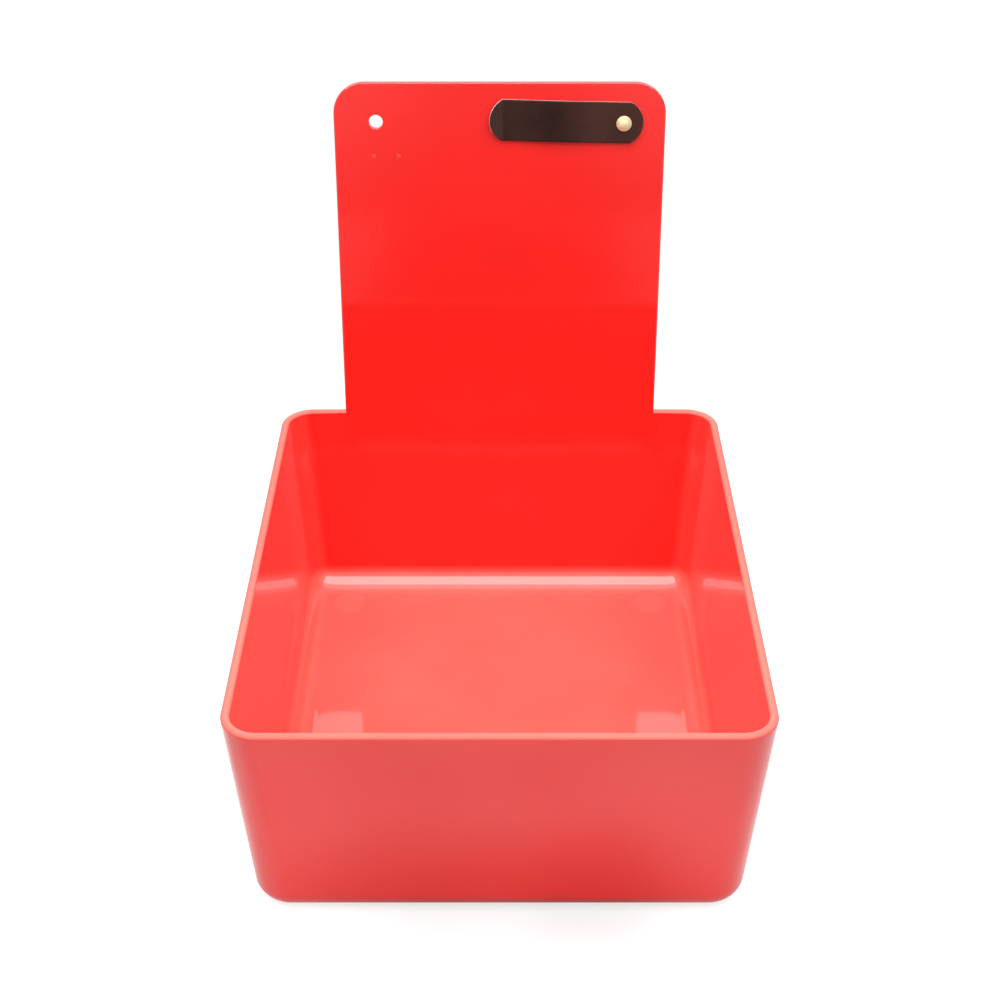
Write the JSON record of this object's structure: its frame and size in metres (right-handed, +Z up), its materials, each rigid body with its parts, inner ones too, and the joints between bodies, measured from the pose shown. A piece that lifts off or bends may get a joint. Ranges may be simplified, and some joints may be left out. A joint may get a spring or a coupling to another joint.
{
  "type": "work pan with ticket clip",
  "caption": "Open moulded tray with drafted walls, a flat floor and a tall back panel that carries a riveted swivelling spring clip for a ticket.",
  "frame": {"origin": "on the flat underside, midway across the tray and midway along its rim", "axes": "+Z up, +X to the right of someone facing the open front, +Y from the front wall towards the back panel"},
  "size_m": [0.1334, 0.17, 0.1626],
  "materials": {
    "red_plastic": "glossy moulded, fine orange peel, light handling scratches",
    "blacked_spring_steel": "blacked, with bright worn cut edges",
    "brass": "bright, lightly tarnished",
    "plated_steel": "dull plated"
  },
  "bodies": {
    "pan": {"pan": "red_plastic"},
    "rivet": {"rivet": "brass", "rivet_washer": "plated_steel"},
    "clip": {"clip_leaf": "blacked_spring_steel"}
  },
  "joints": [
    {"name": "clip_swivel", "type": "hinge", "parent": "pan", "child": "rivet", "pos_m": [0.03555, 0.08675, 0.15146], "axis": [0, -0.9934, 0.1149], "continuous": true},
    {"name": "clip_lift", "type": "hinge", "parent": "rivet", "child": "clip", "pos_m": [0.03715, 0.08604, 0.1515], "axis": [0.0222, 0.1149, 0.9931], "range_deg": [0, 5], "stiffness_Nm_per_rad": 4.3}
  ]
}
